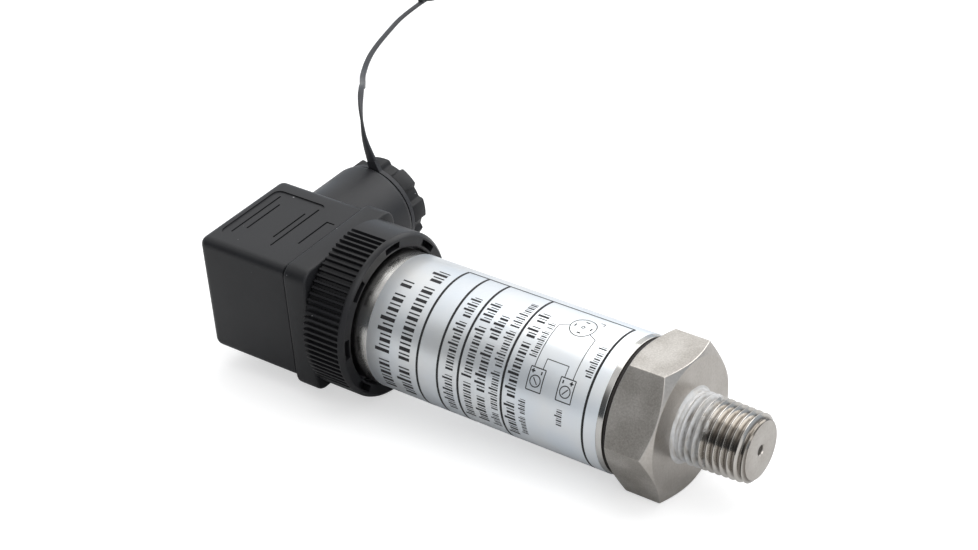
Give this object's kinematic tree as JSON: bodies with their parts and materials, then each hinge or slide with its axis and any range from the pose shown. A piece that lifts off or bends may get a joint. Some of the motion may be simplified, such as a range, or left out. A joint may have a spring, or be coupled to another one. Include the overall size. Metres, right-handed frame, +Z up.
{
  "type": "pressure transmitter",
  "caption": "Stainless pressure transmitter with a taper thread, foil label, ribbed union ring and a square right-angle plug with cable gland and tether strap.",
  "frame": {"origin": "middle of the underside: centre of the box of everything but the free strap, at the floor it lies on", "axes": "+X along the main axis towards the pressure thread (it dips 2.98 degrees), +Y the way the cable gland points, +Z up"},
  "size_m": [0.2181, 0.2038, 0.0447],
  "materials": {
    "stainless": "satin turned",
    "tube_steel": "fine brushed",
    "label_foil": "glossy printed foil",
    "black_plastic": "satin moulded",
    "ring_plastic": "semi-gloss moulded",
    "nut_plastic": "satin moulded",
    "block_plastic": "moulded",
    "strap_plastic": "soft satin",
    "rubber": "matte",
    "ceramic": "fine ceramic",
    "board": "lacquered laminate",
    "chips": "moulded",
    "wire": "insulated wire",
    "tin": "tin plated",
    "brass": "turned",
    "zinc": "zinc plated",
    "spring_steel": "oiled"
  },
  "bodies": {
    "process_body": {"process_fitting": "stainless", "body_tube": "tube_steel", "label": "label_foil", "sensor_cell": "ceramic", "cell_seal": "rubber", "cell_retainer": "stainless", "circuit_board": "board", "board_components": "chips", "cell_wires": "wire", "output_wires": "wire", "retaining_ring": "spring_steel"},
    "union_ring": {"union_ring": "ring_plastic"},
    "plug_head": {"connector_base": "black_plastic", "base_seal": "rubber", "signal_blades": "tin", "earth_blade": "tin", "base_insert": "brass", "plug_gasket": "rubber", "plug_housing": "black_plastic", "terminal_block": "block_plastic", "socket_contacts": "tin", "terminal_screws": "zinc", "fixing_screw": "zinc", "screw_seal": "rubber", "gland_grommet": "rubber", "strap_loop": "strap_plastic", "strap": "strap_plastic", "strap_eyelet": "strap_plastic"},
    "gland_carrier": {"gland_washer": "zinc"},
    "gland_nut": {"gland_nut": "nut_plastic"}
  },
  "joints": [
    {"name": "ring_turn", "type": "hinge", "parent": "process_body", "child": "union_ring", "pos_m": [-0.02511, -0.00908, 0.01722], "axis": [0.9986, 0, -0.052], "range_deg": [0, 720]},
    {"name": "head_slide", "type": "slide", "parent": "process_body", "child": "plug_head", "axis": [-0.9986, 0, 0.052], "range_m": [0, 0.002]},
    {"name": "gland_slide", "type": "slide", "parent": "plug_head", "child": "gland_carrier", "axis": [0.0052, 0.995, 0.0995], "range_m": [0, 0.003]},
    {"name": "gland_turn", "type": "hinge", "parent": "gland_carrier", "child": "gland_nut", "pos_m": [-0.04897, 0.02077, 0.02145], "axis": [0.0052, 0.995, 0.0995], "range_deg": [0, 720]}
  ],
  "couplings": [
    {"joint": "ring_turn", "follows": "head_slide", "rad_per_m": 6283.2},
    {"joint": "gland_turn", "follows": "gland_slide", "rad_per_m": 4188.8}
  ]
}
